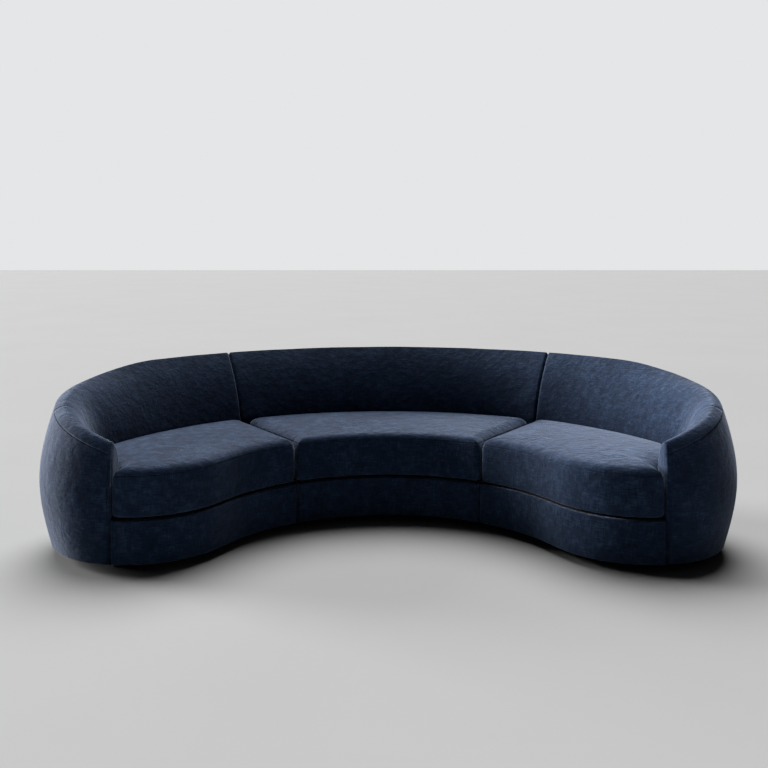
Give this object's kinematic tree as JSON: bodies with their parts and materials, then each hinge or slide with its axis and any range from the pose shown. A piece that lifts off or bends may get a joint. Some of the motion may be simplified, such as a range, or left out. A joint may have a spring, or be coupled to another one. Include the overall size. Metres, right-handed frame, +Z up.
{
  "type": "curved sectional sofa",
  "caption": "Low curved sectional sofa in dark blue velvet: a tight rounded back that sweeps down into the arms, thick loose seat cushions and a plain padded base on short recessed feet.",
  "frame": {"origin": "on the floor under the middle of the sofa's box", "axes": "+X to the sofa's left-hand side as one sits, which is the viewer's right; +Y to its back; +Z up. The sofa faces -Y."},
  "size_m": [3.1124, 1.5872, 0.7605],
  "materials": {
    "velvet": "short brushed pile, dark blue",
    "deck_cloth": "plain woven decking over thin felt",
    "lining_cloth": "plain woven lining on board",
    "dust_cloth": "black non-woven",
    "webbing": "elastic webbing",
    "plywood": "birch plywood",
    "steel": "zinc plated",
    "foot_plastic": "black moulded"
  },
  "bodies": {
    "centre_section": {"centre_back_pad": "velvet", "centre_base_cover": "velvet", "centre_base_panel": "plywood", "centre_connector_sockets": "steel", "centre_cross_rails": "plywood", "centre_deck_pad": "deck_cloth", "centre_dust_cover": "dust_cloth", "centre_feet": "foot_plastic", "centre_front_rail": "plywood", "centre_joint_linings": "lining_cloth", "centre_joint_rails": "plywood", "centre_outer_panel": "velvet", "centre_ribs": "plywood", "centre_screws": "steel", "centre_seat_frame": "plywood", "centre_top_rail": "plywood", "centre_webbing": "webbing"},
    "right_section": {"right_arm_end_panel": "velvet", "right_arm_pad": "velvet", "right_back_pad": "velvet", "right_base_cover": "velvet", "right_base_panel": "plywood", "right_connector_tongues": "steel", "right_cross_rails": "plywood", "right_deck_pad": "deck_cloth", "right_dust_cover": "dust_cloth", "right_feet": "foot_plastic", "right_front_rail": "plywood", "right_joint_lining": "lining_cloth", "right_joint_rail": "plywood", "right_outer_panel": "velvet", "right_ribs": "plywood", "right_screws": "steel", "right_seat_frame": "plywood", "right_top_rail": "plywood", "right_webbing": "webbing"},
    "left_section": {"left_arm_end_panel": "velvet", "left_arm_pad": "velvet", "left_back_pad": "velvet", "left_base_cover": "velvet", "left_base_panel": "plywood", "left_connector_tongues": "steel", "left_cross_rails": "plywood", "left_deck_pad": "deck_cloth", "left_dust_cover": "dust_cloth", "left_feet": "foot_plastic", "left_front_rail": "plywood", "left_joint_lining": "lining_cloth", "left_joint_rail": "plywood", "left_outer_panel": "velvet", "left_ribs": "plywood", "left_screws": "steel", "left_seat_frame": "plywood", "left_top_rail": "plywood", "left_webbing": "webbing"},
    "centre_cushion": {"centre_seat_cushion": "velvet"},
    "right_cushion": {"right_seat_cushion": "velvet"},
    "left_cushion": {"left_seat_cushion": "velvet"}
  },
  "joints": [
    {"name": "right_section_pull", "type": "slide", "parent": "centre_section", "child": "right_section", "axis": [0.8387, -0.5446, 0], "range_m": [0, 0.3]},
    {"name": "left_section_pull", "type": "slide", "parent": "centre_section", "child": "left_section", "axis": [-0.8387, -0.5446, 0], "range_m": [0, 0.3]},
    {"name": "centre_cushion_lift", "type": "slide", "parent": "centre_section", "child": "centre_cushion", "axis": [0, 0, 1], "range_m": [0, 0.55]},
    {"name": "right_cushion_lift", "type": "slide", "parent": "right_section", "child": "right_cushion", "axis": [0, 0, 1], "range_m": [0, 0.55]},
    {"name": "left_cushion_lift", "type": "slide", "parent": "left_section", "child": "left_cushion", "axis": [0, 0, 1], "range_m": [0, 0.55]}
  ]
}
